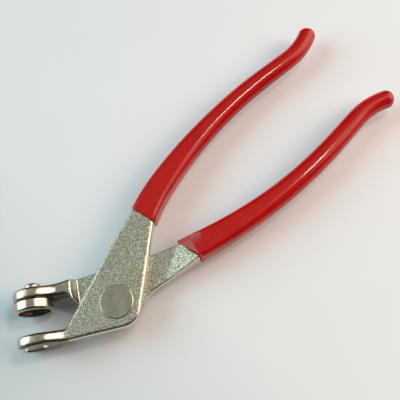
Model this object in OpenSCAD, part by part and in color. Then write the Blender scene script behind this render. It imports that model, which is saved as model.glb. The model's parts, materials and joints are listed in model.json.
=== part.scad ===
// Cleco pliers: two forged levers on a rivet, one with a forked jaw and one with a
// round cup, and a dipped vinyl sleeve on each handle.
// Sizes are in millimetres. The levers are drawn about the rivet's axis, with the
// handles along +X and the face that carries the rivet's head up. The finished tool
// is moved so that the origin is the middle of its outline, at the height of the table.

/* [Lap joint] */
// Thickness of each lever's plate where the two lie over each other
lap_t = 4.8; // [4.2:0.1:6]
// Radius that rounds the forged edges of plates, jaws and tangs
edge_r = 1.3; // [0.6:0.1:1.8]
// Distance from the rivet's axis to the fork lever's straight back
fork_back = 15.5; // [15:0.1:17]
// Distance from the rivet's axis to the fork lever's inner edge
fork_inner = 11.3; // [10.8:0.1:12.6]
// Radius of the fork lever's round heel
heel_r = 9; // [7:0.5:11]
// Distance from the rivet's axis to the pad lever's straight back
pad_back = 17.5; // [16.5:0.1:19]
// Radius of the pad lever's boss round the rivet
boss_r = 10.7; // [9.5:0.1:12]
// Length in which a ramp climbs from the lap up to the handle
ramp_run = 12.5; // [8:0.5:16]
// Length of the steep step from the lap up to a jaw
step_run = 2.3; // [1:0.1:4]
// Distance from the rivet's axis to the foot of the pad lever's step
step_u = 18.1; // [17:0.1:21]

/* [Rivet] */
// Diameter of the rivet's flat head
head_d = 15.6; // [12:0.1:18]
// Height of the rivet's head over the lever's face
head_h = 0.5; // [0.3:0.1:1.5]
// Diameter of the rivet's shank
shank_d = 8; // [6:0.1:10]
// Diameter of the rivet's peened tail
tail_d = 12.6; // [10.5:0.1:16]
// Height of the rivet's peened tail
tail_h = 0.9; // [0.5:0.1:2]

/* [Jaws] */
// Radius of both round jaw heads, seen from the side
jaw_r = 9.3; // [8.8:0.1:10.4]
// Distance from the rivet's axis to the middle of the jaw heads, along the jaws
jaw_reach = 39.2; // [38:0.2:44]
// Distance from the rivet's axis to the fork's inner face, across the jaws
fork_in = 7.2; // [6:0.1:8]
// Thickness of the fork
fork_t = 5.7; // [5:0.1:7]
// Width of the fork's slot
slot_w = 9.6; // [8:0.1:11]
// Diameter of the seat for a fastener's shoulder round the slot
seat_d = 14.4; // [13:0.1:16]
// Depth of that seat
seat_h = 0.8; // [0.4:0.1:1.5]
// Distance from the rivet's axis to the tongue's inner face, across the jaws
tongue_in = 8.5; // [7.8:0.1:9.6]
// Thickness of the tongue that carries the cup
tongue_t = 5.8; // [4.8:0.1:6.6]
// Radius of the hollow curve between a jaw head and its neck
neck_r = 9; // [6:0.5:12]

/* [Cup] */
// Height of the cup from the tongue to its rim
cup_h = 4.8; // [3.6:0.1:6]
// Diameter of the cup's recess at its mouth
recess_d = 14.6; // [12:0.1:15.4]
// Depth of the cup's recess
recess_h = 2.4; // [1:0.1:2.8]
// Diameter of the cup's shank, which is riveted through the tongue
post_d = 6; // [4:0.1:7]
// Diameter of the shank's round head behind the tongue
button_d = 7.8; // [7.2:0.1:9]
// Height of that head
button_h = 3.2; // [2:0.1:4]

/* [Handles] */
// Length of a handle's long bow
bow_len = 96; // [84:1:110]
// Radius of the long bow
bow_r = 229; // [190:1:270]
// Length of the straight run after the bow
run_len = 15; // [6:1:20]
// Length of the outward hook at the end of a handle
hook_len = 22; // [16:1:26]
// Radius of the outward hook
hook_r = 34.5; // [28:0.5:60]

// Width of a steel tang where it leaves its plate
tang_w0 = 11.3; // [10.4:0.1:11.6]
// Width of a steel tang at its end
tang_w1 = 6.9; // [6:0.1:9]
// Thickness of a steel tang where it leaves its plate
tang_t0 = 8.7; // [8:0.1:9.2]
// Thickness of a steel tang at its end
tang_t1 = 6.8; // [6:0.1:8.4]
// Wall of the dipped vinyl sleeves
grip_wall = 0.9; // [0.6:0.05:1.4]

/* [Fits] */
// Radial clearance of a shank in its hole
shank_gap = 0.05; // [0.02:0.01:0.1]
// Gap between the two lap faces, and under the rivet's tail
lap_gap = 0.06; // [0.02:0.01:0.2]
// Gap between a steel tang and its sleeve
sleeve_gap = 0.05; // [0.02:0.01:0.1]

/* [Hidden] */
arc_n = 7;        // steps in the arc of an outline's corner
edge_n = 3;       // steps in the rounding of an edge
sec_n = 4;        // steps in each corner of a handle's section
round_fn = 64;    // facets that preview a turned surface
eps = 0.02;       // overlap that keeps joined solids one solid
slot_ease = 0.05; // how much nearer the slot's straight walls are than its round end

// Directions of travel, anticlockwise round each plate, of its straight edges
jaw_a = 144;      // from the rivet out along both jaws, with the tool half open
fork_back_a = 197.2;
fork_inner_a = 36.8;
pad_back_a = 150.3;

// Where each handle's middle line starts: x, y, direction, and how far it swings out
// to the right at first
fork_root = [37, 21.6, 15.4, 1.1];
pad_root = [35, -5.5, -22.5, -0.2];
lead_len = 17;    // length over which that swing fades
// Distance along each middle line to the edge of the sleeve
fork_dip = 0;
pad_dip = 5.4;
dip_a = 9;        // direction in which the edges of both sleeves face
// Where the bare edges of a plate run into that plane, and the directions they take
fork_low = [37.9, 14, fork_inner_a];
fork_high = [36.3, 26.6, 14.5];
pad_low = [39.9, -13.7, -15];
pad_high = [38.3, -0.6, -25.4];
// How far before those points the upper edges bend, and how gently
fork_rise = 14.6;
rise_r = 60;
pad_rise = 11.4;
pad_rise_r = 40;

// Radius of the corner behind the fork's neck
crook_r = 0.8;
// Ends of the plates, which lie inside the jaws: how far out, how far in from a jaw's
// face, and the least radius of any corner
fork_end_u = jaw_reach - 10;
pad_end_u = jaw_reach - 6;
tuck = 0.7;
end_r = 0.4;
// How far out the necks of the two jaws start
fork_neck_u = 20;
pad_neck_u = 18;
// Direction of the fork lever's heel line, which runs into the fork's outer face
heel_a = jaw_a + 182;
heel_u = 23;
// Notch between the pad lever's boss and its jaw
notch_u = 22.6;
notch_r = 2;
// Directions of the edges that wrap the boss, and how much further out the first lies
boss_a = [267.7, 305, 20];
boss_lift = 1.2;
// Corners of the pad lever's hollow lower edge: x, y and radius
pad_waist = [13.3, -7.2, 6];
pad_belly = [24.1, -9.7, 30];

// Foot of each ramp: direction of travel and distance from the rivet's axis
fork_ramp_a = 158;
fork_ramp_d = 23.5;
pad_ramp_a = 27.3;
pad_ramp_d = 17.9;
// Foot of the fork lever's step, on its underside
fork_step_u = jaw_reach - 11.5;

// How far a jaw's neck stands over its plate where the hollow starts; it sinks into the
// plate by as much at its root
neck_lean = 0.25;

fork_out = fork_in + fork_t;
tongue_out = tongue_in + tongue_t;
cup_mouth = tongue_in - cup_h;
jaw_tip = jaw_reach + jaw_r;
heel_d = jaw_point(heel_u, -fork_out) * -left(heel_a);

// Vectors along and to the left of a direction, and the direction of a vector
function dir(a) = [cos(a), sin(a)];
function left(a) = [-sin(a), cos(a)];
function ang(v) = atan2(v[1], v[0]);
function turn(a, b) = (b - a + 540) % 360 - 180;
function mix(a, b, t) = a + (b - a) * t;
function ease(t) = let (k = min(1, max(0, t))) k * k * (3 - 2 * k);
function corner(p, r) = [p[0], p[1], r];

// The corner between two edges, each a direction of travel and a distance outwards
function meet(a, da, b, db) =
    dir(a) * (db - da * cos(b - a)) / sin(b - a) - left(a) * da;

// A point in jaw coordinates: out along the jaws, and across them towards the tongue
function jaw_point(u, n) = dir(jaw_a) * u - left(jaw_a) * n;

// A closed outline with rounded corners, moved inwards by inset. Each corner is
// x, y and radius, anticlockwise. The radius of a hollow corner grows as it moves in,
// and that of any other shrinks, down to end_r.
function outline(corners, inset = 0) = let (m = len(corners))
    [for (i = [0 : m - 1]) let (
        p = [corners[i][0], corners[i][1]],
        b = corners[(i + m - 1) % m],
        d = corners[(i + 1) % m],
        a0 = ang(p - [b[0], b[1]]),
        a1 = ang([d[0], d[1]] - p),
        t = turn(a0, a1),
        s = t > 0 ? 1 : -1,
        r = max(end_r, corners[i][2] - s * inset),
        q = p + (left(a0) + left(a1)) * inset / (1 + left(a0) * left(a1)),
        mid = q - dir(a0) * r * tan(abs(t) / 2) + left(a0) * r * s)
        for (k = [0 : arc_n]) mid - left(a0 + t * k / arc_n) * r * s];

// Heights and insets of the rings that round both edges of a plate
function edge_rings(z0, z1, r) = concat(
    [for (k = [0 : edge_n]) let (a = 90 * k / edge_n)
        [z0 + r * (1 - cos(a)), r * (1 - sin(a))]],
    [for (k = [0 : edge_n]) let (a = 90 * k / edge_n)
        [z1 - r * (1 - sin(a)), r * (1 - cos(a))]]);

// Faces of a closed skin over equal rings of n points
function skin_faces(count, n) = concat(
    [[for (i = [0 : n - 1]) i]],
    [for (r = [0 : count - 2]) for (i = [0 : n - 1]) let (
        a = r * n + i,
        b = r * n + (i + 1) % n)
        each [[a, b + n, b], [a, a + n, b + n]]],
    [[for (i = [0 : n - 1]) count * n - 1 - i]]);

module skin(rings) {
    polyhedron([for (r = rings) each r], skin_faces(len(rings), len(rings[0])), convexity = 8);
}

// A plate with the outline of its corners and rounded edges, from z0 to z1
function plate_rings(corners, z0, z1) = [for (e = edge_rings(z0, z1, edge_r))
    [for (p = outline(corners, e[1])) [p[0], p[1], e[0]]]];

// Lays a shape drawn in x, along the jaws, and y, up, so that z runs across the jaws
module in_jaw_frame() {
    multmatrix([
        [cos(jaw_a), 0, sin(jaw_a), 0],
        [sin(jaw_a), 0, -cos(jaw_a), 0],
        [0, 1, 0, 0]])
        children();
}

// Side view of a jaw: a neck of the lever's full thickness that swells through a
// hollow curve into a round head. Corners are anticlockwise.
function jaw_side(root) = let (
    drop = acos((lap_t + neck_r) / (jaw_r + neck_r)),
    foot_u = jaw_reach - (jaw_r + neck_r) * sin(drop),
    foot_t = neck_r * tan(drop / 2),
    crown_t = jaw_r * tan(drop / 2),
    upper = [
        [jaw_tip, jaw_r, jaw_r - eps],
        [jaw_reach - crown_t, jaw_r, jaw_r - eps],
        [foot_u + foot_t, lap_t + neck_lean, neck_r - 2 * neck_lean],
        [root, lap_t - neck_lean, end_r]])
    concat(upper, [for (i = [3 : -1 : 0]) [upper[i][0], -upper[i][1], upper[i][2]]]);

module jaw_blank(root, n0, n1) {
    in_jaw_frame() skin(plate_rings(jaw_side(root), n0, n1));
}

// The middle line of a handle in its own frame, as x, y and direction: a long bow,
// a straight run and a hook the other way
function bow(s) = let (a = s / bow_r * 180 / PI) [bow_r * sin(a), bow_r * (cos(a) - 1), -a];
function onward(p, s) = concat([p[0], p[1]] + dir(p[2]) * s, [p[2]]);
function hook(p, s) = let (a = s / hook_r * 180 / PI)
    concat([p[0], p[1]] + (left(p[2]) - left(p[2] + a)) * hook_r, [p[2] + a]);
function middle(s) = s <= bow_len ? bow(s)
    : s <= bow_len + run_len ? onward(bow(bow_len), s - bow_len)
    : hook(onward(bow(bow_len), run_len), s - bow_len - run_len);
handle_len = bow_len + run_len + hook_len;

// The same line placed at a root; side is 1 for a handle that bows to the right
function placed(s, root, side) = let (
    m = middle(s),
    a = root[2],
    fade = max(0, 1 - s / lead_len),
    y = side * m[1] - root[3] * fade * fade)
    [root[0] + m[0] * cos(a) - y * sin(a),
     root[1] + m[0] * sin(a) + y * cos(a),
     a + side * m[2] + atan(2 * root[3] / lead_len * fade)];

// Width, thickness and corner radius of a tang at s, and how its sleeve rounds off
soft_len = (tang_w1 + 2 * grip_wall) * 0.45;
function tip_scale(s) = let (t = max(0, s - handle_len + soft_len) / soft_len)
    sqrt(max(0.05, 1 - t * t));
function tang_section(s) = let (
    t = max(0, s / handle_len),
    w = mix(tang_w0, tang_w1, pow(t, 0.8)),
    h = mix(tang_t0, tang_t1, pow(t, 0.8)))
    [w, h, mix(edge_r, min(w, h) / 2 - 0.1, ease(t * 1.9))];

// Height of a lever over its lap's floor at a point, where its ramp climbs
function ramp_top(p, side, skin) = let (
    a = side > 0 ? fork_ramp_a : pad_ramp_a,
    climb = p * -left(a) - (side > 0 ? fork_ramp_d : pad_ramp_d))
    lap_gap / 2 + max(0, climb) * lap_t / ramp_run + skin / cos(atan(lap_t / ramp_run));

// A ring round the middle line at s, larger than the tang by skin on every side
// and lowered where it lies on the ramp
function ring(s, root, side, skin) = let (
    m = placed(s, root, side),
    q = tang_section(s),
    k = tip_scale(s),
    c = (q[2] + skin) * k,
    w = (q[0] / 2 + skin) * k - c,
    h = (q[1] / 2 + skin) * k - c)
    [for (i = [0 : 3]) for (j = [0 : sec_n]) let (
        a = 90 * i + 90 * j / sec_n,
        y = w * [1, -1, -1, 1][i] + c * cos(a),
        z = h * [1, 1, -1, -1][i] + c * sin(a),
        p = [m[0], m[1]] + left(m[2]) * y,
        top = ramp_top(p, side, skin))
        [p[0], p[1], side > 0 ? max(z, -top) : min(z, top)]];

// The same ring slid along its handle into the plane of the sleeve's edge
function dip_ring(s, root, side, skin) = let (
    m = placed(s, root, side),
    v = dir(m[2]) / cos(m[2] - dip_a))
    [for (p = ring(s, root, side, skin)) let (
        q = [p[0], p[1]],
        t = sleeve_gap - (q - [m[0], m[1]]) * dir(dip_a))
        [q[0] + v[0] * t, q[1] + v[1] * t, p[2]]];

// The stations of a sweep from the sleeve's edge to the end of the steel, and those
// of the soft tip
mouth_len = 6;
steel_len = handle_len - 2 * grip_wall;
function stations(dip) = concat(
    [for (k = [0 : 12]) mix(dip + mouth_len, bow_len, k / 12)],
    [for (k = [0 : 5]) mix(bow_len + run_len, handle_len - soft_len, k / 5)]);
tip_stations = [for (k = [1 : 4]) handle_len - soft_len * (1 - sin(90 * k / 4))];

module tang(root, side, dip) {
    skin(concat(
        [ring(dip - mouth_len, root, side, 0)],
        [for (s = stations(dip)) ring(s, root, side, 0)],
        [ring(steel_len - sleeve_gap, root, side, 0)]));
}

full_wall = grip_wall + sleeve_gap;
lip = 0.8; // share of the wall that stands in the plane of a sleeve's edge
function sleeve_rings(root, side, dip) = let (
    bore = [for (s = stations(dip)) ring(s, root, side, sleeve_gap)])
    concat(
        [ring(steel_len, root, side, sleeve_gap)],
        [for (i = [len(bore) - 1 : -1 : 0]) bore[i]],
        [dip_ring(dip, root, side, sleeve_gap)],
        [dip_ring(dip, root, side, full_wall * lip)],
        [for (s = stations(dip)) ring(s, root, side, full_wall)],
        [for (s = tip_stations) ring(s, root, side, full_wall)]);
fork_sleeve = sleeve_rings(fork_root, 1, fork_dip);
pad_sleeve = sleeve_rings(pad_root, -1, pad_dip);

// Corners of a plate beyond the sleeve's edge, where the plate is cut off square
spare = 3;
function beyond(edge) = corner([edge[0], edge[1]] + dir(edge[2]) * spare, end_r);

fork_corners = [
    corner(meet(heel_a, heel_d, fork_inner_a, fork_inner), heel_r),
    beyond(fork_low),
    beyond(fork_high),
    corner([fork_high[0], fork_high[1]] - dir(fork_high[2]) * fork_rise, rise_r),
    corner(meet(fork_back_a, fork_back, jaw_a, -fork_in), crook_r),
    corner(jaw_point(fork_end_u, -fork_in - tuck), end_r),
    corner(meet(jaw_a + 90, fork_end_u, heel_a, heel_d), end_r)];

pad_corners = [
    corner(jaw_point(pad_end_u, tongue_in + tuck), end_r),
    corner(jaw_point(notch_u, tongue_in), notch_r),
    corner(meet(boss_a[0], boss_r + boss_lift, boss_a[1], boss_r), boss_r),
    corner(meet(boss_a[1], boss_r, boss_a[2], boss_r), boss_r),
    pad_waist,
    pad_belly,
    beyond(pad_low),
    beyond(pad_high),
    corner([pad_high[0], pad_high[1]] - dir(pad_high[2]) * pad_rise, pad_rise_r),
    corner(meet(pad_back_a, pad_back, jaw_a + 90, pad_end_u), end_r)];

// A lever's plate, cut off in the plane of the sleeve's edge
module plate(corners, root, side, dip) {
    m = placed(dip, root, side);
    difference() {
        skin(plate_rings(corners, -lap_t, lap_t));
        translate([m[0], m[1], -jaw_r]) rotate([0, 0, dip_a])
            translate([0, -jaw_r * 2, 0]) cube([spare * 3, jaw_r * 4, jaw_r * 2]);
    }
}

// The tool's outline, from which the middle is found
outline_points = concat(
    [for (r = concat(fork_sleeve, pad_sleeve)) for (p = r) [p[0], p[1]]],
    [for (r = plate_rings(jaw_side(0), tongue_in, tongue_out)) for (p = r)
        jaw_point(p[0], p[2])],
    [for (e = edge_rings(-fork_out, -fork_in, edge_r))
        jaw_point(jaw_reach + sqrt(pow(jaw_r - e[1], 2) - slot_w * slot_w / 4), e[0])]);
xs = [for (p = outline_points) p[0]];
ys = [for (p = outline_points) p[1]];
shift = [(min(xs) + max(xs)) / -2, (min(ys) + max(ys)) / -2, jaw_r];

// The floors on which the levers lie: each edge is a direction of travel, a distance
// from the rivet's axis and the length in which it climbs by the lap's thickness. The
// edges that climb nowhere pass far from the plates.
far = 60;
fork_open_a = [340, 50];
pad_open_a = [310, 130];
fork_lap = [
    [fork_ramp_a, fork_ramp_d, ramp_run],
    [jaw_a + 90, fork_step_u, step_run],
    [fork_open_a[0], far, 0],
    [fork_open_a[1], far, 0]];
pad_lap = [
    [jaw_a + 90, step_u, step_run],
    [pad_open_a[0], far, 0],
    [pad_ramp_a, pad_ramp_d, ramp_run],
    [pad_open_a[1], far, 0]];

// Block that clears the space over a lap's floor, upwards or downwards with way
function lap_ring(edges, z, climb) =
    [for (i = [0 : 3]) let (
        a = edges[i],
        b = edges[(i + 1) % 4],
        p = meet(a[0], a[1] + climb * a[2] / lap_t, b[0], b[1] + climb * b[2] / lap_t))
        [p[0], p[1], z]];

module lap_block(edges, way) {
    depth = lap_t + 1;
    near_ring = lap_ring(edges, way * lap_gap / -2, 0);
    open_ring = lap_ring(edges, way * depth, depth);
    skin(way > 0 ? [near_ring, open_ring] : [open_ring, near_ring]);
}

// A lever's forging before it is drilled: plate, jaw and tang in one, with the lap cleared.
// It is as thick as its jaw head.
module forging(edges, way) {
    resize([0, 0, 2 * jaw_r]) difference() {
        union() children();
        lap_block(edges, way);
    }
}

module fork_lever() color("gainsboro") translate(shift) difference() {
    forging(fork_lap, -1) {
        plate(fork_corners, fork_root, 1, fork_dip);
        jaw_blank(fork_neck_u, -fork_out, -fork_in);
        tang(fork_root, 1, fork_dip);
    }
    translate([0, 0, -1]) cylinder(d = shank_d + 2 * shank_gap, h = lap_t + 2, $fn = round_fn);
    in_jaw_frame() {
        translate([jaw_reach, 0, -fork_out - 1])
            cylinder(d = slot_w, h = fork_t + 2, $fn = round_fn);
        translate([jaw_reach, slot_ease - slot_w / 2, -fork_out - 1])
            cube([2 * jaw_r, slot_w - 2 * slot_ease, fork_t + 2]);
        translate([jaw_reach, 0, -fork_in - seat_h])
            cylinder(d = seat_d, h = seat_h + 1, $fn = round_fn);
    }
}

module pad_lever() color("silver") translate(shift) difference() {
    forging(pad_lap, 1) {
        plate(pad_corners, pad_root, -1, pad_dip);
        jaw_blank(pad_neck_u, tongue_in, tongue_out);
        tang(pad_root, -1, pad_dip);
    }
    translate([0, 0, -lap_t - 1])
        cylinder(d = shank_d + 2 * shank_gap, h = lap_t + 2, $fn = round_fn);
    in_jaw_frame() translate([jaw_reach, 0, tongue_in - 1])
        cylinder(d = post_d + 2 * shank_gap, h = tongue_t + 2, $fn = round_fn);
}

// A turned piece from its profile, each point a radius and a height
module turned(profile) {
    rotate_extrude($fn = round_fn) polygon(profile);
}

// Radii that soften turned edges: the cup's rim, the corner in its recess, and the
// edges of the rivet's ends as a share of their height
rim_soft = 1.2;
recess_soft = 0.5;
end_soft = 0.8;

// The rounded corner of a profile, from its rim round to its end face at z
function crown(r, z, soft, way) = [for (k = [0 : 4])
    [r - soft + soft * cos(22.5 * k), z + way * (soft * sin(22.5 * k) - soft)]];

module pivot_rivet() color("darkgray") translate(shift) {
    top = lap_t + head_h;
    low = -lap_t - lap_gap;
    tail = crown(tail_d / 2, low - tail_h, tail_h * end_soft, -1);
    turned(concat(
        [[0, low - tail_h]],
        [for (i = [len(tail) - 1 : -1 : 0]) tail[i]],
        [[tail_d / 2, low], [shank_d / 2, low], [shank_d / 2, lap_t], [head_d / 2, lap_t]],
        crown(head_d / 2, top, head_h * end_soft, 1),
        [[0, top]]));
}

module plunger_cup() color("wheat") translate(shift) in_jaw_frame() translate([jaw_reach, 0, 0]) {
    floor_z = cup_mouth + recess_h;
    rim = crown(jaw_r, cup_mouth, rim_soft, -1);
    turned(concat(
        [[0, floor_z], [recess_d / 2 - recess_soft, floor_z],
         [recess_d / 2, floor_z - recess_soft], [recess_d / 2, cup_mouth]],
        [for (i = [len(rim) - 1 : -1 : 0]) rim[i]],
        [[jaw_r, tongue_in], [post_d / 2, tongue_in], [post_d / 2, tongue_out],
         [button_d / 2, tongue_out]],
        crown(button_d / 2, tongue_out + button_h, button_h / 2, 1),
        [[0, tongue_out + button_h]]));
}

module fork_grip() color("red") translate(shift) skin(fork_sleeve);
module pad_grip() color("firebrick") translate(shift) skin(pad_sleeve);

fork_lever();
pad_lever();
pivot_rivet();
plunger_cup();
fork_grip();
pad_grip();
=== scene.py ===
# %% [markdown]
# # Pliers for sheet fasteners, dressed for their picture
# The tool is two forged steel levers on one rivet. The upper lever ends in a slotted fork,
# the lower one carries a round cup, and both handles are dipped in glossy red vinyl. The
# solids already have the right sizes and places, so this lesson adds what steel and vinyl
# look like: softer forged edges, smooth turned and dipped surfaces, and finishes that
# follow how each face was worked. We start by loading the solids as a frame that stays put.

# %% Load the solids and measure them
import json
import bpy
import numpy as np
from mathutils import Matrix


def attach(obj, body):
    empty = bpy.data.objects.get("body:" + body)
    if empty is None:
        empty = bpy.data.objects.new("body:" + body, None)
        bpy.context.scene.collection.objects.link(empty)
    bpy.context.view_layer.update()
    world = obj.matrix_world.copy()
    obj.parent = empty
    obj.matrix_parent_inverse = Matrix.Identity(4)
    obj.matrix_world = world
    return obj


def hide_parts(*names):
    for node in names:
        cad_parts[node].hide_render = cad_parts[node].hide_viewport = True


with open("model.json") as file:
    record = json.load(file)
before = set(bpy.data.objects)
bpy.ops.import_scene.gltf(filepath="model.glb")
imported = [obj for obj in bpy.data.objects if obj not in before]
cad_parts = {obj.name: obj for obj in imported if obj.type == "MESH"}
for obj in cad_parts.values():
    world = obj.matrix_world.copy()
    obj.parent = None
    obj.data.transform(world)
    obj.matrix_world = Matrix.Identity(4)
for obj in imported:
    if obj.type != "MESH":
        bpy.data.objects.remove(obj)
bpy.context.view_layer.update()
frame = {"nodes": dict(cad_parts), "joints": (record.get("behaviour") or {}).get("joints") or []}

pivot = np.array(frame["joints"][0]["pos_m"]) * 1000
print("middle of the rivet in mm:", np.round(pivot, 2).tolist())

# %% [markdown]
# ## Camera
# The photograph was taken from above, by a camera that leans towards the picture's lower
# edge and a little to its right. It is handy to think in table axes: x to the picture's
# right, y to its top, and z up from the middle of the tool's thickness. The tool lies turned
# in that picture. Its pieces have to stay in the solids' frame, so we don't turn the tool:
# one turn and one shift carry table axes to the tool's own, and both the camera and the
# lights use them.

# %% Table axes
TOOL_TURN = np.radians(46.77)
RIVET_ON_TABLE = np.array([-37.405, -49.317])


def to_tool(point):
    """Table axes to the tool's, in mm: take off the rivet's place on the table, turn back by
    the tool's angle in the picture, and add the rivet's place in the tool's own frame."""
    x, y, z = point
    c, s = np.cos(TOOL_TURN), np.sin(TOOL_TURN)
    dx, dy = x - RIVET_ON_TABLE[0], y - RIVET_ON_TABLE[1]
    return np.array([c * dx + s * dy + pivot[0], c * dy - s * dx + pivot[1], z + pivot[2]])


def turned_to_tool(direction):
    """A direction in table axes, in the tool's: where it ends less where it starts."""
    return to_tool(direction) - to_tool((0, 0, 0))


def unit(v):
    """A vector over its own length."""
    return np.asarray(v, float) / np.linalg.norm(v)


print("the picture's right is", np.round(turned_to_tool((1, 0, 0)), 3).tolist(), "on the tool")

# %% The camera
PICTURE_PIXELS, FOCAL_PIXELS, MM_PER_PIXEL = 400.0, 640.0, 0.48
LEAN_RIGHT, LEAN_DOWN = np.radians(5.5), np.radians(20.5)
SENSOR_MM = 36.0
back = unit([np.tan(LEAN_RIGHT), -np.tan(LEAN_DOWN), 1.0])
right = unit(np.cross([0, 1, 0], back))
up = np.cross(back, right)
eye = to_tool(back * FOCAL_PIXELS * MM_PER_PIXEL) / 1000
axes = np.column_stack([turned_to_tool(v) for v in (right, up, back)])

lens = bpy.data.cameras.new("photo_camera")
lens.sensor_width = SENSOR_MM
lens.lens = SENSOR_MM * FOCAL_PIXELS / PICTURE_PIXELS
lens.clip_start, lens.clip_end = 0.01, 10.0
camera = bpy.data.objects.new("photo_camera", lens)
bpy.context.scene.collection.objects.link(camera)
camera.matrix_world = Matrix.Translation(eye) @ Matrix(axes.tolist()).to_4x4()
bpy.context.scene.camera = camera
print("camera at", np.round(eye * 1000, 1).tolist(), "mm, lens", round(lens.lens, 1), "mm")

# %% [markdown]
# ## From arrays to meshes
# Every new piece here is a surface on a grid: one direction runs round a closed ring, the
# other goes from ring to ring. If the first and last rings are filled in, the surface is a
# closed skin. The whole grid is one numpy array, and the faces are index arrays of it, so
# nothing loops over vertices.

# %% A closed skin over a stack of rings
def skin(name, rings):
    """A closed mesh over rings, an array (ring, point, xyz) in mm in the tool's frame. Quads
    join point i of ring r to point i + 1 and to the same two points of ring r + 1, and one
    flat face closes each end."""
    count, around = rings.shape[:2]
    index = np.arange(count * around).reshape(count, around)
    a, b = index[:-1], index[1:]
    quads = np.stack([a, np.roll(a, -1, 1), np.roll(b, -1, 1), b], -1).reshape(-1, 4)
    mesh = bpy.data.meshes.new(name)
    faces = quads.tolist() + [index[0, ::-1].tolist(), index[-1].tolist()]
    mesh.from_pydata((rings.reshape(-1, 3) / 1000).tolist(), [], faces)
    mesh.validate()
    mesh.polygons.foreach_set("use_smooth", np.full(len(mesh.polygons), True))
    piece = bpy.data.objects.new(name, mesh)
    bpy.context.scene.collection.objects.link(piece)
    print(name, "has", len(mesh.polygons), "faces")
    return piece


# %% Its faces turned outwards
def outward(piece):
    """Turns the faces of a closed mesh outwards: the volume under its faces, the sum of each
    triangle's corners' triple product over six, is positive when they point out."""
    mesh = piece.data
    mesh.calc_loop_triangles()
    corners = np.empty(len(mesh.vertices) * 3)
    mesh.vertices.foreach_get("co", corners)
    tris = np.empty(len(mesh.loop_triangles) * 3, np.int32)
    mesh.loop_triangles.foreach_get("vertices", tris)
    p = corners.reshape(-1, 3)[tris.reshape(-1, 3)]
    volume = np.einsum("ij,ij->i", p[:, 0], np.cross(p[:, 1], p[:, 2])).sum() / 6
    if volume < 0:
        mesh.flip_normals()
    print(piece.name, "holds", round(abs(volume) * 1e9), "cubic mm")
    return piece


# %% [markdown]
# ## Turned pieces: the rivet and the cup
# Both are round about an axis, as they come from a press or a lathe, so each is a profile of
# radius against height swept round. A rounded rim is a quarter circle in that profile, and
# a fine rim is what catches the light as a thin bright arc. A Bevel modifier on a cylinder
# would round every edge alike, where each of these has its own radius.

# %% Lathe
AROUND = 96
AXIS_R = 0.05


def arc(r0, z0, radius, start, end, steps=8):
    """Profile points on an arc about (r0, z0): r is r0 + radius cos a, z is z0 + radius sin a."""
    a = np.radians(np.linspace(start, end, steps))
    return np.column_stack([r0 + radius * np.cos(a), z0 + radius * np.sin(a)])


def turned(name, profile, origin, out, along):
    """Sweeps a profile of (radius, height) round an axis. Each ring lies about origin plus
    height times along, and its points are radius times (out cos a + side sin a), where side
    is square to both. The profile starts and ends on a tiny ring about the axis."""
    a = np.linspace(0, 2 * np.pi, AROUND, endpoint=False)
    side = np.cross(along, out)
    circle = np.cos(a)[:, None] * out + np.sin(a)[:, None] * side
    rings = origin + profile[:, 1, None, None] * along + profile[:, 0, None, None] * circle
    return outward(skin(name, rings))


# %% The rivet, with its flat pressed head up and its peened tail below
UP = np.array([0.0, 0.0, 1.0])
LAP, RUB_GAP, SHANK_R = 4.8, 0.06, 4.0
HEAD_R, HEAD_H, HEAD_SOFT = 7.8, 0.5, 0.42
DISH_R, DISH_DEPTH = 2.0, 0.03
TAIL_R, TAIL_H, TAIL_SOFT = 6.3, 0.9, 0.7
head_top = LAP + HEAD_H
tail_foot = -LAP - RUB_GAP
tail_end = tail_foot - TAIL_H
rivet_profile = np.vstack([
    [[AXIS_R, tail_end]],
    arc(TAIL_R - TAIL_SOFT, tail_end + TAIL_SOFT, TAIL_SOFT, -90, 0),
    [[TAIL_R, tail_foot], [SHANK_R, tail_foot], [SHANK_R, LAP], [HEAD_R, LAP + 0.01]],
    arc(HEAD_R - HEAD_SOFT, head_top - HEAD_SOFT, HEAD_SOFT, 0, 90),
    [[HEAD_R - 0.9, head_top], [HEAD_R - 1.6, head_top - DISH_DEPTH / 2],
     [DISH_R, head_top - DISH_DEPTH], [AXIS_R, head_top - DISH_DEPTH]]])
rivet = turned("rivet", rivet_profile, pivot, np.array([1.0, 0, 0]), UP)

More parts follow.
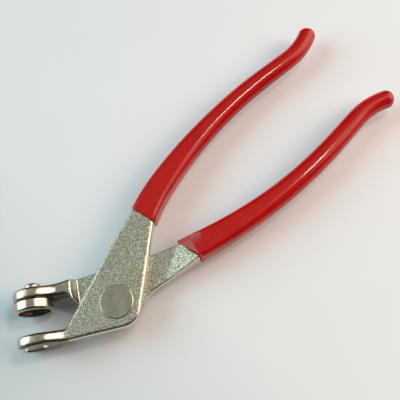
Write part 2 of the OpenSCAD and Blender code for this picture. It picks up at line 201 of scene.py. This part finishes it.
# %% The cup, which looks across the jaws from the tongue towards the fork
JAW_ANGLE = np.radians(144)
along_jaws = np.array([np.cos(JAW_ANGLE), np.sin(JAW_ANGLE), 0])
across_jaws = np.array([np.sin(JAW_ANGLE), -np.cos(JAW_ANGLE), 0])
JAW_REACH, JAW_R = 39.2, 9.3
TONGUE_IN, TONGUE_OUT = 8.5, 14.3
CUP_RIM, CUP_FLOOR, RECESS_R = 3.7, 6.1, 7.3
POST_R, BUTTON_R, BUTTON_H = 3.0, 3.9, 3.2
LIP_SOFT, RIM_SOFT, BACK_SOFT, BUTTON_SOFT = 0.25, 1.2, 0.35, 1.6
cup_profile = np.vstack([
    [[AXIS_R, CUP_FLOOR], [RECESS_R - 0.5, CUP_FLOOR], [RECESS_R - 0.1, CUP_FLOOR - 0.25],
     [RECESS_R, CUP_FLOOR - 0.6], [RECESS_R, CUP_RIM + LIP_SOFT]],
    arc(RECESS_R + LIP_SOFT, CUP_RIM + LIP_SOFT, LIP_SOFT, 180, 270, 5),
    arc(JAW_R - RIM_SOFT, CUP_RIM + RIM_SOFT, RIM_SOFT, 270, 360, 10),
    [[JAW_R, TONGUE_IN - 0.5]],
    arc(JAW_R - BACK_SOFT, TONGUE_IN - BACK_SOFT, BACK_SOFT, 0, 90, 5),
    [[POST_R, TONGUE_IN], [POST_R, TONGUE_OUT], [BUTTON_R, TONGUE_OUT + 0.01]],
    arc(BUTTON_R - BUTTON_SOFT, TONGUE_OUT + BUTTON_H - BUTTON_SOFT, BUTTON_SOFT, 0, 90, 10),
    [[AXIS_R, TONGUE_OUT + BUTTON_H]]])
cup = turned("plunger_cup_turned", cup_profile, pivot + along_jaws * JAW_REACH, UP, across_jaws)

# %% [markdown]
# ## The dipped handles
# A handle is dipped in liquid vinyl, which follows the steel at an even thickness, rounds its
# edges and draws into a soft tip. A Solidify modifier on the steel would keep its edges, so
# the sleeve is a ring carried along the handle's middle line instead. The ring is a rectangle
# with round corners near the plate and almost an oval near the end. The line bows for most of
# its length, runs straight, and hooks outwards at the end.

# %% The middle line of a handle
BOW_LEN, BOW_R, RUN_LEN, HOOK_LEN, HOOK_R = 96.0, 229.0, 15.0, 22.0, 34.5
HANDLE_LEN = BOW_LEN + RUN_LEN + HOOK_LEN
LEAD_LEN = 17.0


def middle_line(s, root, side):
    """Points and directions at distances s along a handle. On the bow the direction falls by
    s over its radius, on the run it holds, and on the hook it rises again by s over the
    hook's radius. Each stretch adds the circle's or the line's own displacement. The line is
    mirrored by side, turned to its root's direction, and swings out at first by a parabola
    that fades over the lead."""
    x0, y0, turn, swing = root
    turn = np.radians(turn)
    on_bow = np.minimum(s, BOW_LEN) / BOW_R
    run = np.clip(s - BOW_LEN, 0, RUN_LEN)
    on_hook = np.clip(s - BOW_LEN - RUN_LEN, 0, None) / HOOK_R
    x = BOW_R * np.sin(on_bow) + run * np.cos(on_bow)
    y = BOW_R * (np.cos(on_bow) - 1) - run * np.sin(on_bow)
    x = x + HOOK_R * (np.sin(on_bow) + np.sin(on_hook - on_bow))
    y = y + HOOK_R * (np.cos(on_bow) - np.cos(on_hook - on_bow))
    fade = np.clip(1 - s / LEAD_LEN, 0, None)
    y = side * y - swing * fade ** 2
    angle = turn + side * (on_hook - on_bow) + np.arctan(2 * swing / LEAD_LEN * fade)
    place = np.column_stack([x0 + x * np.cos(turn) - y * np.sin(turn),
                             y0 + x * np.sin(turn) + y * np.cos(turn)])
    return place, angle


print("a handle is", HANDLE_LEN, "mm long on its middle line")

# %% The ring carried along it
TANG_W, TANG_T, EDGE_R = (11.3, 6.9), (8.7, 6.8), 1.3
TAPER, ROUNDING, FLAT_LEFT, TIP_LEFT = 0.8, 1.9, 0.1, 0.05
WALL, GAP = 0.9, 0.05
SOFT_LEN = (TANG_W[1] + 2 * WALL) * 0.45
# Each side's ramp starts at a line with this direction, that far from the rivet in mm.
RAMPS = {1: (np.radians(158), 23.5), -1: (np.radians(27.3), 17.9)}
RAMP_RUN = 12.5
DIP_ANGLE = np.radians(9)


def smooth(t):
    """Three t squared less two t cubed, with t held between 0 and 1."""
    t = np.clip(t, 0, 1)
    return t * t * (3 - 2 * t)


def dipped_rings(s, root, side, thick, steps=10, at_mouth=None):
    """Rings at distances s, larger than the steel by thick. Width and thickness fall with
    the 0.8th power of the way along, corners grow from the forged radius to almost a half
    circle, and the tip shrinks as a circle's edge does. On the lap's ramp the ring is lowered
    onto it. With at_mouth the rings slide along the handle into the plane of the sleeve's
    edge, that far past it."""
    place, angle = middle_line(s, root, side)
    t = np.clip(s / HANDLE_LEN, 0, None)
    width = TANG_W[0] + (TANG_W[1] - TANG_W[0]) * t ** TAPER
    height = TANG_T[0] + (TANG_T[1] - TANG_T[0]) * t ** TAPER
    corner = EDGE_R + (np.minimum(width, height) / 2 - FLAT_LEFT - EDGE_R) * smooth(t * ROUNDING)
    tip = np.clip(s - HANDLE_LEN + SOFT_LEN, 0, None) / SOFT_LEN
    shrink = np.sqrt(np.clip(1 - tip ** 2, TIP_LEFT, None))
    c = (corner + thick) * shrink
    w = (width / 2 + thick) * shrink - c
    h = (height / 2 + thick) * shrink - c
    a = np.radians(np.concatenate([np.linspace(90 * q, 90 * q + 90, steps) for q in range(4)]))
    sign_w = np.repeat([1, -1, -1, 1], steps)
    sign_h = np.repeat([1, 1, -1, -1], steps)
    y = w[:, None] * sign_w + c[:, None] * np.cos(a)
    z = h[:, None] * sign_h + c[:, None] * np.sin(a)
    left = np.stack([-np.sin(angle), np.cos(angle)], -1)
    ahead = np.stack([np.cos(angle), np.sin(angle)], -1)
    p = place[:, None, :] + y[..., None] * left[:, None, :]
    ramp_angle, ramp_foot = RAMPS[side]
    climb = p @ np.array([np.sin(ramp_angle), -np.cos(ramp_angle)]) - ramp_foot
    slope = LAP / RAMP_RUN
    top = RUB_GAP / 2 + np.clip(climb, 0, None) * slope + thick / np.cos(np.arctan(slope))
    z = np.maximum(z, -top) if side > 0 else np.minimum(z, top)
    if at_mouth is not None:
        facing = np.array([np.cos(DIP_ANGLE), np.sin(DIP_ANGLE)])
        slide = (GAP + at_mouth - (p - place[:, None, :]) @ facing) / (ahead @ facing)[:, None]
        p = p + slide[..., None] * ahead[:, None, :]
    return np.concatenate([p, z[..., None]], -1) + pivot


# %% Two sleeves, from the bore's end out over the lip and on to the tip
MOUTH_SOFT, BORE_FROM, SKIN_FROM = 0.3, 6.0, 2.5
BORE_RINGS, SKIN_RINGS, TIP_RINGS = 60, 150, 12


def sleeve(name, root, side, dip):
    """Rings of the bore from the end of the steel back to the mouth, four rings that round
    the lip, and rings of the outside up to the tip, where they crowd as a circle's do."""
    full = WALL + GAP
    inner_s = np.linspace(HANDLE_LEN - 2 * WALL, dip + BORE_FROM, BORE_RINGS)
    outer_s = np.linspace(dip + SKIN_FROM, HANDLE_LEN - SOFT_LEN, SKIN_RINGS)
    tip_s = HANDLE_LEN - SOFT_LEN * (1 - np.sin(np.radians(np.linspace(8, 90, TIP_RINGS))))
    at = np.array([float(dip)])
    lip = [dipped_rings(at, root, side, GAP, at_mouth=0.0)]
    for a in np.radians([0, 30, 60, 90]):
        lip.append(dipped_rings(at, root, side, full - MOUTH_SOFT * (1 - np.sin(a)),
                                at_mouth=MOUTH_SOFT * (1 - np.cos(a))))
    rings = np.concatenate([
        dipped_rings(inner_s, root, side, GAP), *lip,
        dipped_rings(outer_s, root, side, full), dipped_rings(tip_s, root, side, full)])
    return outward(skin(name, rings))


# A root is where a handle starts: x and y in mm from the rivet, its direction in degrees,
# and how far it first swings out, in mm.
FORK_ROOT, PAD_ROOT = (37, 21.6, 15.4, 1.1), (35, -5.5, -22.5, -0.2)
fork_sleeve = sleeve("fork_sleeve", FORK_ROOT, side=1, dip=0.0)
pad_sleeve = sleeve("pad_sleeve", PAD_ROOT, side=-1, dip=5.4)

# %% [markdown]
# ## The forged levers
# The levers' solids have every size right, but their edges are short flat facets. A forging
# that was blasted and tumbled has no sharp line anywhere. We could bevel each edge, but the
# plate, ramp, neck and round jaw meet in too many ways for that. Instead the solid is cast
# anew as a fine even grid of faces, which can then be worked like clay.

# %% Cast a lever anew
GRAIN = 0.00032
WELD = 2e-6


def cast_anew(node, name):
    """A fine copy of a solid's skin: its loose triangles are welded, and the skin is cast
    again with faces of an even grain."""
    mesh = frame["nodes"][node].data.copy()
    piece = bpy.data.objects.new(name, mesh)
    bpy.context.scene.collection.objects.link(piece)
    weld = piece.modifiers.new("weld", "WELD")
    weld.merge_threshold = WELD
    cast = piece.modifiers.new("cast", "REMESH")
    cast.mode, cast.voxel_size, cast.use_smooth_shade = "VOXEL", GRAIN, True
    shape = piece.evaluated_get(bpy.context.evaluated_depsgraph_get())
    piece.data = bpy.data.meshes.new_from_object(shape)
    piece.modifiers.clear()
    piece.data.materials.clear()
    print(name, "has", len(piece.data.polygons), "faces")
    return piece


fork_forging = cast_anew("fork_lever", "fork_forging")
pad_forging = cast_anew("pad_lever", "pad_forging")

# %% [markdown]
# ## The jaws' heads and necks
# Each lever ends in a round head, and the photograph shows that it falls away slowly into
# the neck behind it. The solid's head has flat steps, which a mirror-like finish would show,
# and its neck is a deeper hollow. A modifier would change the slot and the cup's seat too,
# so both are mended by moving points along simple curves, by two millimetres at most.

# %% Points in and out of a mesh
def read_points(mesh, what):
    """One row for each point of a mesh: its place, "co", in metres, or its "normal"."""
    values = np.empty(len(mesh.vertices) * 3)
    mesh.vertices.foreach_get(what, values)
    return values.reshape(-1, 3)


def from_rivet(mesh):
    """Each point's place in mm from the middle of the rivet."""
    return read_points(mesh, "co") * 1000 - pivot


def put_back(mesh, points):
    """Places in mm from the middle of the rivet, back into the mesh in metres."""
    mesh.vertices.foreach_set("co", ((points + pivot) / 1000).ravel())
    mesh.update()


def grown(points, grow):
    """Points moved away from the head's own axis by a share of their distance to it."""
    out, high = points @ along_jaws - JAW_REACH, points[:, 2]
    return points + grow[:, None] * (out[:, None] * along_jaws + high[:, None] * UP)


# %% Make the jaw heads truly round
NECK_R = 9.0
ARC_STEPS = 7
CORE_R, CORE_FADE = 6.5, 1.5
hollow_turn = np.degrees(np.arccos((LAP + NECK_R) / (JAW_R + NECK_R)))


def round_heads(piece):
    """The solid's round head has flat steps: a quarter turn of seven, and then the turn of
    the hollow's start in seven more. On a step of angle d, a chord lies at cos(d/2) over
    cos(a - d/2) of the true radius, a being the angle from the step's start. Dividing by that
    puts each point out on the true round."""
    points = from_rivet(piece.data)
    out, high = points @ along_jaws - JAW_REACH, points[:, 2]
    reach = np.hypot(out, high)
    angle = np.degrees(np.arctan2(np.abs(high), out))
    step = np.where(angle < 90, 90 / ARC_STEPS, hollow_turn / ARC_STEPS)
    within = np.where(angle < 90, angle, angle - 90) % step
    chord = np.cos(np.radians(step / 2)) / np.cos(np.radians(within - step / 2))
    on_head = (reach < JAW_R + 0.2) * (angle < 90 + hollow_turn)
    grow = (1 / chord - 1) * smooth((reach - CORE_R) / CORE_FADE) * on_head
    put_back(piece.data, grown(points, grow))
    print(piece.name, "grew by", round(float((grow * reach).max()), 3), "mm at most")


round_heads(fork_forging)
round_heads(pad_forging)


# %% Fill the necks, which in the photograph fall away slowly behind the heads
def fill_neck(piece, foot, top):
    """Between a top near the head's middle and a foot nearer the rivet, the half height falls
    from the head's radius to the lap's in one smooth step. Each point's height is multiplied
    by that height over the solid's own. The solid's is the head's circle, then the hollow's,
    which touches it where both turn the same way, and then the lap's."""
    points = from_rivet(piece.data)
    out = points @ along_jaws
    touch = (LAP + NECK_R) / (JAW_R + NECK_R)
    head_ends = JAW_REACH - JAW_R * np.sqrt(1 - touch ** 2)
    hollow_at = JAW_REACH - (JAW_R + NECK_R) * np.sqrt(1 - touch ** 2)
    round_height = np.sqrt(np.clip(JAW_R ** 2 - (out - JAW_REACH) ** 2, LAP ** 2, None))
    hollow_height = LAP + NECK_R - np.sqrt(np.clip(NECK_R ** 2 - (out - hollow_at) ** 2, 0, None))
    old = np.where(out > head_ends, round_height, np.where(out > hollow_at, hollow_height, LAP))
    new = LAP + (JAW_R - LAP) * smooth((out - foot) / (top - foot))
    behind = out < JAW_REACH
    points[:, 2] *= np.where(behind, np.maximum(new / old, 1), 1)
    put_back(piece.data, points)
    filled = float(((new - old) * behind).max())
    print(piece.name, "neck filled by", round(filled, 2), "mm")


fill_neck(fork_forging, foot=22.5, top=36.7)
fill_neck(pad_forging, foot=25.3, top=37.5)

# %% [markdown]
# ## Edges softened by tumbling and by the wheel
# Tumbling takes the same small softness off every edge, and the polishing wheel takes more
# off the jaws. Relaxing does both: each point moves towards its neighbours, a few times
# everywhere and more times on the jaws. It shrinks what it rounds, so part of each step is
# taken back on the plate, the head is grown to its size again, and the rivet's hole is left
# out, so that the shank stays clear of it.

# %% Relax the skin
PLATE_ROUNDS, JAW_ROUNDS = 20, 18
HALF_WAY, WAY_BACK = 0.5, -0.2
JAW_FADE, HOLE_MARGIN, HOLE_FADE = 3.0, 0.5, 1.0
REGROW_FROM, REGROW_FADE = -9, 6


def relax(piece, jaw_from):
    """Every round moves each point half of the way to the mean of its neighbours. All points
    but those at the rivet's hole take the plate's rounds, each with 0.2 of the way back. The
    jaw's rounds fade in over 3 mm along the jaws. The head is then scaled about its own
    middle until its rim is out at its true radius again."""
    mesh = piece.data
    points = from_rivet(mesh)
    ends = np.empty(len(mesh.edges) * 2, np.int32)
    mesh.edges.foreach_get("vertices", ends)
    a, b = ends.reshape(-1, 2).T
    starts, stops = np.concatenate([a, b]), np.concatenate([b, a])
    count = np.bincount(starts, minlength=len(points))[:, None]
    jaw = smooth((points @ along_jaws - jaw_from) / JAW_FADE)[:, None]
    from_hole = np.hypot(points[:, 0], points[:, 1]) - SHANK_R - HOLE_MARGIN
    free = smooth(from_hole / HOLE_FADE)[:, None]
    steps = [(HALF_WAY, free), (WAY_BACK, free)] * PLATE_ROUNDS + [(HALF_WAY, jaw)] * JAW_ROUNDS
    for step, weight in steps:
        total = np.column_stack([np.bincount(starts, points[stops, k], len(points))
                                 for k in range(3)])
        points = points + step * weight * (total / count - points)
    out = points @ along_jaws - JAW_REACH
    tip = float(np.hypot(out, points[:, 2])[out > 0].max())
    put_back(mesh, grown(points, (JAW_R / tip - 1) * smooth((out - REGROW_FROM) / REGROW_FADE)))
    print(piece.name, "head grown back from", round(tip, 2), "mm")


relax(fork_forging, jaw_from=22.0)
relax(pad_forging, jaw_from=19.0)

# %% [markdown]
# ## Marks for the finishes
# A finish has to know where the steel stayed blasted, where a wheel polished it, and where
# shade is painted: on the jaws' flat sides and in the cup's recess. Painting that by hand
# would be lost with the next change of shape, so it is measured on the mesh and kept as one
# value for each point, which the finish's nodes can read by its name.

# %% A value for each point
def mark(piece, name, values):
    """Keeps one value for each point under a name."""
    layer = piece.data.attributes.new(name, "FLOAT", "POINT")
    layer.data.foreach_set("value", values)
    print(piece.name, name, "covers", round(100 * float(values.mean())), "% of its points")


# %% Blasted flats
POLISH_FADE = 1.6


def mark_flats(piece, low, high, jaw_from=None):
    """1 on flats and 0 on edges: flats are where the normal's upward part rises from low to
    high. The jaws, polished all over, begin at a distance along their own direction from the
    rivet."""
    mesh = piece.data
    flat = smooth((np.abs(read_points(mesh, "normal")[:, 2]) - low) / (high - low))
    if jaw_from is not None:
        flat = flat * (1 - smooth((from_rivet(mesh) @ along_jaws - jaw_from) / POLISH_FADE))
    mark(piece, "flats", flat)


mark_flats(fork_forging, low=0.85, high=0.91, jaw_from=25.0)
mark_flats(pad_forging, low=0.85, high=0.91, jaw_from=18.6)
mark_flats(rivet, low=0.90, high=0.97)

# %% The jaws' flat sides, and the plate
SIDE_LOW, SIDE_RISE = 0.35, 0.45
SIDE_FADE = 2.0


def mark_sides(piece, jaw_from):
    """Two values. The first is 1 on the jaw's flat sides, which are painted dark brown as shade,
    and 0 on its polished rim: it rises with how far the normal lies along the sides' own.
    The second is 1 on the plate and tang, whose edges shine brighter."""
    mesh = piece.data
    facing = np.abs(read_points(mesh, "normal") @ across_jaws)
    jaw = smooth((from_rivet(mesh) @ along_jaws - jaw_from) / SIDE_FADE)
    mark(piece, "sides", smooth((facing - SIDE_LOW) / SIDE_RISE) * jaw)
    mark(piece, "plate", 1 - jaw)


mark_sides(fork_forging, jaw_from=23.0)
mark_sides(pad_forging, jaw_from=19.5)

# %% The cup's recess
REACH_OVER = 0.1


def mark_recess(piece):
    """1 in the recess, which is painted dark as shade and left rougher, and 0 outside: points no
    further from the cup's axis than the recess's wall, and no deeper than its floor."""
    points = from_rivet(piece.data)
    from_axis = np.hypot(points @ along_jaws - JAW_REACH, points[:, 2])
    deep = points @ across_jaws
    inside = (from_axis < RECESS_R + REACH_OVER) & (deep < CUP_FLOOR + REACH_OVER)
    mark(piece, "inside", inside.astype(float))


mark_recess(cup)

# %% [markdown]
# ## A short way to write finishes
# A finish is a small network of nodes. To read it like arithmetic, one class wraps an output
# and knows plus, minus and times, also with a number on its left. Every other node comes
# from one method, which sets the node's options first and then its inputs.

# %% Wires
class Wire:
    """One output of a node. Sums, differences and products of wires add Math nodes."""

    def __init__(self, board, socket):
        self.board, self.socket = board, socket

    def maths(self, operation, first, second):
        return self.board.node("ShaderNodeMath", {"operation": operation}, {0: first, 1: second})

    def __add__(self, other):
        return self.maths("ADD", self, other)

    def __radd__(self, other):
        return self.maths("ADD", other, self)

    def __sub__(self, other):
        return self.maths("SUBTRACT", self, other)

    def __rsub__(self, other):
        return self.maths("SUBTRACT", other, self)

    def __mul__(self, other):
        return self.maths("MULTIPLY", self, other)

    def __rmul__(self, other):
        return self.maths("MULTIPLY", other, self)


# %% Boards
MIX_FIRST, MIX_SECOND, MIX_COLOUR = 6, 7, 2


class Board:
    """The nodes of one finish, or of the room: owner is what they belong to."""

    def __init__(self, owner):
        self.owner = owner
        owner.use_nodes = True
        self.tree = owner.node_tree
        self.tree.nodes.clear()

    def node(self, kind, settings=None, inputs=None, out=0):
        """A node of a kind, with its settings, then its inputs' values or wires, and the
        wire of one of its outputs."""
        made = self.tree.nodes.new(kind)
        for key, value in (settings or {}).items():
            setattr(made, key, value)
        for key, value in (inputs or {}).items():
            if isinstance(value, Wire):
                self.tree.links.new(value.socket, made.inputs[key])
            else:
                made.inputs[key].default_value = value
        return Wire(self, made.outputs[out]) if made.outputs else None

    def place(self):
        """Where a point lies on its piece."""
        return self.node("ShaderNodeTexCoord", out="Object")

    def marked(self, name):
        """The value that was marked on the piece's points under a name."""
        return self.node("ShaderNodeAttribute", {"attribute_name": name}, out="Fac")

    def noise(self, size_mm, detail=2.0, rough=0.5):
        """Soft noise whose blotches are about size_mm across."""
        return self.node("ShaderNodeTexNoise", {}, {
            "Vector": self.place(), "Scale": 1000.0 / size_mm, "Detail": detail,
            "Roughness": rough})

    def between(self, value, low, high, to_low=0.0, to_high=1.0):
        """Carries low..high to to_low..to_high and holds it there."""
        return self.node("ShaderNodeMapRange", {"clamp": True}, {
            "Value": value, "From Min": low, "From Max": high, "To Min": to_low,
            "To Max": to_high})

    def blend(self, share, first, second):
        """One colour into another."""
        return self.node("ShaderNodeMix", {"data_type": "RGBA"},
                         {"Factor": share, MIX_FIRST: first, MIX_SECOND: second},
                         out=MIX_COLOUR)

    def dot(self, first, second):
        """How far one direction lies along another: the sum of the products of their parts."""
        return self.node("ShaderNodeVectorMath", {"operation": "DOT_PRODUCT"},
                         {0: first, 1: second}, out="Value")

    def bump(self, height, strength, distance_mm, normal=None):
        """A normal tilted by the slope of a height, on top of another normal if given."""
        inputs = {"Strength": strength, "Distance": distance_mm / 1000, "Height": height}
        if normal:
            inputs["Normal"] = normal
        return self.node("ShaderNodeBump", {}, inputs)

    def surface(self, **inputs):
        """Ends the board in one Principled surface, and gives back what it belongs to."""
        named = {key.replace("_", " "): value for key, value in inputs.items()}
        shader = self.node("ShaderNodeBsdfPrincipled", {}, named)
        self.node("ShaderNodeOutputMaterial", {}, {"Surface": shader})
        print(self.owner.name, "has", len(self.tree.nodes), "nodes")
        return self.owner


def finish_board(name):
    return Board(bpy.data.materials.new(name))


# %% [markdown]
# ## Steel: blasted flats, polished edges
# The levers were blasted, tumbled and thinly plated. Flats keep the blasted grain: thousands
# of tiny facets, each a slightly different mirror, that read as light and dark grains over a
# grey with a hint of green, and glints are painted in as white dots. Edges and jaws are almost
# mirrors, warmer in tone, and the jaws' flat sides are painted dark brown as shade. One
# material does it all, because the marks on the mesh say which is where, and one piece of
# steel has no seams.

# %% Plated steel
def plated_steel():
    board = finish_board("plated_steel")
    blasted, sides, plate = board.marked("flats"), board.marked("sides"), board.marked("plate")
    dark_grain, light_grain = (0.13, 0.14, 0.10, 1), (0.575, 0.595, 0.47, 1)
    # The white of the painted glints on the blasted flats.
    painted_glint = (0.96, 0.97, 0.90, 1)
    warm, brown_warm = (0.60, 0.54, 0.46, 1), (0.50, 0.445, 0.37, 1)
    # The dark brown of the painted shade on the jaws' flat sides.
    plate_edge, painted_side_shade = (0.72, 0.68, 0.60, 1), (0.15, 0.105, 0.075, 1)

    grain = board.noise(0.44, detail=1.0, rough=0.6)
    fine = board.noise(0.30, detail=1.0)
    # Painted glints: white dots painted into the blasted flats' colour at random spots.
    spots = board.between(board.noise(0.6, detail=1.0), 0.56, 0.64)
    painted_sparkle = spots * board.between(fine, 0.45, 0.6)
    flat = board.blend(board.between(grain, 0.43, 0.57), dark_grain, light_grain)
    flat = board.blend(painted_sparkle, flat, painted_glint)

    cloud = board.noise(9.0, detail=3.0)
    polish = board.blend(board.between(cloud, 0.35, 0.65), warm, brown_warm)
    polish = board.blend(plate, polish, plate_edge)
    # Painted shade: where the jaws' flat sides face sideways, they are painted dark brown.
    polish = board.blend(sides * 0.85, polish, painted_side_shade)
    colour = board.blend(blasted, polish, flat)

    scuff = board.noise(1.6, detail=4.0, rough=0.6)
    rough_polish = board.between(scuff, 0.35, 0.75, 0.15, 0.30) * (1 - 0.45 * plate)
    rough = blasted * board.between(grain, 0.3, 0.7, 0.50, 0.34) + (1 - blasted) * rough_polish
    sand = board.bump(grain * blasted, 0.9, 0.14)
    dents = board.bump((scuff + grain) * (1 - blasted), 0.75, 0.07, normal=sand)
    return board.surface(Base_Color=colour, Metallic=1.0, Roughness=rough, Normal=dents)


steel = plated_steel()

# %% [markdown]
# ## Steel: the rivet and the cup
# The rivet's head was pressed flat and came out satin, with a brighter rim. The cup was
# turned and polished, and its recess is painted dark as shade, its steel left rougher. A cloud
# of slow noise keeps each from looking like one even paint.

# %% Satin rivet
def satin_rivet():
    board = finish_board("rivet_steel")
    flat = board.marked("flats")
    dark_satin, light_satin = (0.34, 0.34, 0.265, 1), (0.41, 0.41, 0.32, 1)
    rim = (0.66, 0.63, 0.55, 1)
    fine = board.noise(0.35, detail=2.0)
    cloud = board.noise(4.0, detail=3.0)
    face = board.blend(board.between(cloud, 0.35, 0.65), dark_satin, light_satin)
    colour = board.blend(flat, rim, face)
    rough = flat * board.between(fine, 0.3, 0.7, 0.36, 0.46) + (1 - flat) * 0.18
    return board.surface(Base_Color=colour, Metallic=1.0, Roughness=rough,
                         Normal=board.bump(fine, 0.25, 0.02))


rivet_steel = satin_rivet()


# %% Turned cup
def turned_cup():
    board = finish_board("cup_steel")
    inside = board.marked("inside")
    warm, brown_warm = (0.60, 0.54, 0.45, 1), (0.50, 0.44, 0.35, 1)
    # The dark brown of the painted shade in the cup's recess.
    painted_recess_shade = (0.20, 0.165, 0.11, 1)
    cloud = board.noise(3.0, detail=4.0)
    colour = board.blend(board.between(cloud, 0.35, 0.7), warm, brown_warm)
    # Painted shade: the recess is painted dark brown.
    colour = board.blend(inside, colour, painted_recess_shade)
    rough = board.between(cloud, 0.3, 0.7, 0.12, 0.26) + inside * 0.12
    return board.surface(Base_Color=colour, Metallic=1.0, Roughness=rough,
                         Normal=board.bump(board.noise(1.2, detail=3.0), 0.3, 0.04))


cup_steel = turned_cup()

# %% [markdown]
# ## Vinyl
# Dipped vinyl is a solid red under a shiny skin. It is never quite even: the dip runs in
# slow waves that bend the highlight, and dust and handling dull it in patches. So the colour
# is nearly flat, and the life is in a low wave on the normal and in the roughness.

# %% Dipped vinyl
def dipped_vinyl():
    board = finish_board("dipped_vinyl")
    deep_red, red = (0.33, 0.001, 0.0003, 1), (0.39, 0.002, 0.0005, 1)
    cloud = board.noise(14.0, detail=3.0)
    colour = board.blend(board.between(cloud, 0.3, 0.7), deep_red, red)
    wave = board.bump(board.noise(7.0, detail=1.0), 0.25, 0.35)
    ripple = board.bump(board.noise(1.1, detail=3.0), 0.12, 0.03, normal=wave)
    rough = board.between(board.noise(5.0, detail=4.0), 0.3, 0.7, 0.10, 0.18) + 0.14
    return board.surface(Base_Color=colour, Roughness=rough, Normal=ripple,
                         Specular_IOR_Level=0.20, Coat_Weight=0.55, Coat_Roughness=0.09)


vinyl = dipped_vinyl()

# %% [markdown]
# ## Dressing the frame
# Each new piece stands for one solid, which it hides. It rides with the body of its own
# lever, so that the tool opens and closes as one, and it takes its finish as a material.

# %% Put each finish on its piece, and each piece on its body
dressing = [
    (fork_forging, steel, "plated_steel", "fork_side", "fork_lever"),
    (pad_forging, steel, "plated_steel", "pad_side", "pad_lever"),
    (rivet, rivet_steel, "rivet_steel", "fork_side", "pivot_rivet"),
    (cup, cup_steel, "cup_steel", "pad_side", "plunger_cup"),
    (fork_sleeve, vinyl, "dipped_vinyl", "fork_side", "fork_grip"),
    (pad_sleeve, vinyl, "dipped_vinyl", "pad_side", "pad_grip")]
for piece, finish, slot, body, node in dressing:
    piece.data.materials.append(finish)
    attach(piece, body)
    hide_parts(node)
print("dressed", len(dressing), "pieces")

# %% [markdown]
# ## Table
# The photograph has a plain pale ground that darkens a little towards its lower left. That
# is painted shade: a gradient painted into the ground's colour gives it without a shadow's
# edge, and a faint cloud keeps it from looking like one even paint.

# %% The ground
GROUND_HALF = 3.0


def ground():
    board = finish_board("pale_ground")
    cool, pale = (0.635, 0.66, 0.71, 1), (0.665, 0.685, 0.735, 1)
    painted_shade = (0.47, 0.525, 0.56, 1)
    colour = board.blend(board.noise(60.0, detail=2.0), cool, pale)
    # Painted shade: the ground is painted darker towards the lower left in table axes.
    near_left = board.dot(board.place(), turned_to_tool((-0.6, -0.8, 0)).tolist())
    colour = board.blend(board.between(near_left, 0.04, 0.17), colour, painted_shade)
    return board.surface(Base_Color=colour, Roughness=0.9, Specular_IOR_Level=0.2)


corners = np.array([[-1, -1, 0], [1, -1, 0], [1, 1, 0], [-1, 1, 0]]) * GROUND_HALF
table = bpy.data.meshes.new("ground")
table.from_pydata(corners.tolist(), [], [(0, 1, 2, 3)])
table.materials.append(ground())
floor = bpy.data.objects.new("ground", table)
bpy.context.scene.collection.objects.link(floor)

# %% [markdown]
# ## Light
# Cool light comes from the left and warm light from the right, both soft, so shadows are
# faint and tinted. A panel on each side gives that to the ground and the vinyl. Steel shows
# only what it mirrors, and a panel's hard square would show in it, so the steel doesn't see
# the two panels: it mirrors the room, whose patches of light have soft round edges. A small
# key lamp adds a firmer shadow and a crisp highlight.

# %% Lamps
def panel(name, place, aim, size, power, colour):
    """A square lamp at a place in table axes, in mm, that faces an aim point."""
    lamp = bpy.data.lights.new(name, "AREA")
    lamp.shape, lamp.size, lamp.energy, lamp.color = "SQUARE", size, power, colour
    holder = bpy.data.objects.new(name, lamp)
    bpy.context.scene.collection.objects.link(holder)
    here, there = to_tool(place) / 1000, to_tool(aim) / 1000
    z = unit(here - there)
    x = unit(np.cross([0.0, 0.0, 1.0], z) + [1e-6, 0, 0])
    turn = np.column_stack([x, np.cross(z, x), z])
    holder.matrix_world = Matrix.Translation(here) @ Matrix(turn.tolist()).to_4x4()
    print(name, "gives", power, "W from", np.round(here * 1000).tolist(), "mm")
    return holder


for lamp in (panel("cool_left", (-600, 120, 420), (-20, -20, 0), 0.40, 1.50, (0.18, 0.80, 1.0)),
             panel("warm_right", (600, 60, 400), (20, 0, 0), 0.34, 2.7, (1.0, 0.72, 0.52))):
    lamp.visible_glossy = False
panel("key", (230, 140, 570), (20, 10, 0), 0.055, 0.62, (1.0, 0.93, 0.82))

# %% Room
DIM = (0.052, 0.043, 0.036)
PATCHES = [((-0.87, 0.14, 0.50), 23, 34, (2.0, 2.45, 2.45)),
           ((0.80, 0.36, 0.52), 25, 37, (2.7, 2.2, 1.85)),
           ((-0.15, 0.30, 1.0), 12, 44, (0.320, 0.332, 0.287))]


def patch(board, place, full, none, colour):
    """A soft round patch of light: its strength rises from none to full as the dot product
    of the looking direction with its own goes between the cosines of two angles."""
    look = board.node("ShaderNodeTexCoord", out="Generated")
    towards = board.dot(look, unit(turned_to_tool(place)).tolist())
    low, high = np.cos(np.radians([none, full])).tolist()
    return board.node("ShaderNodeVectorMath", {"operation": "SCALE"},
                      {0: colour, "Scale": board.between(towards, low, high)})


def room():
    """The sum of a dim sphere and its patches of light."""
    board = Board(bpy.data.worlds.new("room"))
    light = DIM
    for values in PATCHES:
        light = board.node("ShaderNodeVectorMath", {"operation": "ADD"},
                           {0: patch(board, *values), 1: light})
    shown = board.node("ShaderNodeBackground", {}, {"Color": light, "Strength": 1.0})
    board.node("ShaderNodeOutputWorld", {}, {"Surface": shown})
    print("the room has", len(PATCHES), "patches of light")
    return board.owner


bpy.context.scene.world = room()
bpy.context.scene.view_settings.view_transform = "Standard"
bpy.context.scene.view_settings.look = "None"
